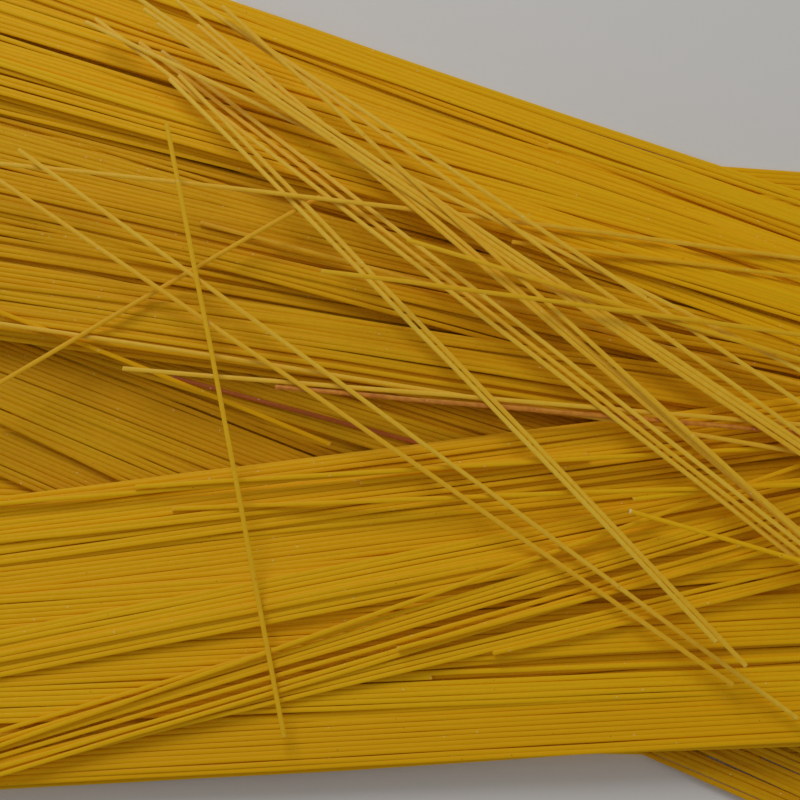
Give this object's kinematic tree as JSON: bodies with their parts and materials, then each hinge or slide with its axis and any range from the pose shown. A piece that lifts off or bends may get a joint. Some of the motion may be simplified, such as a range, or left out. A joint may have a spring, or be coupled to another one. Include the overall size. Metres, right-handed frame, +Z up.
{
  "type": "bundle of dry angel hair pasta",
  "caption": "Loose bundle of long, thin, straight strands of dry golden pasta: two sheaves crossing over a flat bed, with single strands lying slantwise on top.",
  "frame": {"origin": "middle of the heap's outline, on the surface it lies on", "axes": "+X along the strands towards the end where the sheaves gather, +Z up, -Y towards the viewer"},
  "size_m": [0.2966, 0.2098, 0.0295],
  "materials": {
    "dry_pasta": "satin, hard and slightly floury dried durum dough, golden yellow"
  },
  "bodies": {
    "root": {"angel_hair_bundle": "dry_pasta"}
  },
  "joints": []
}
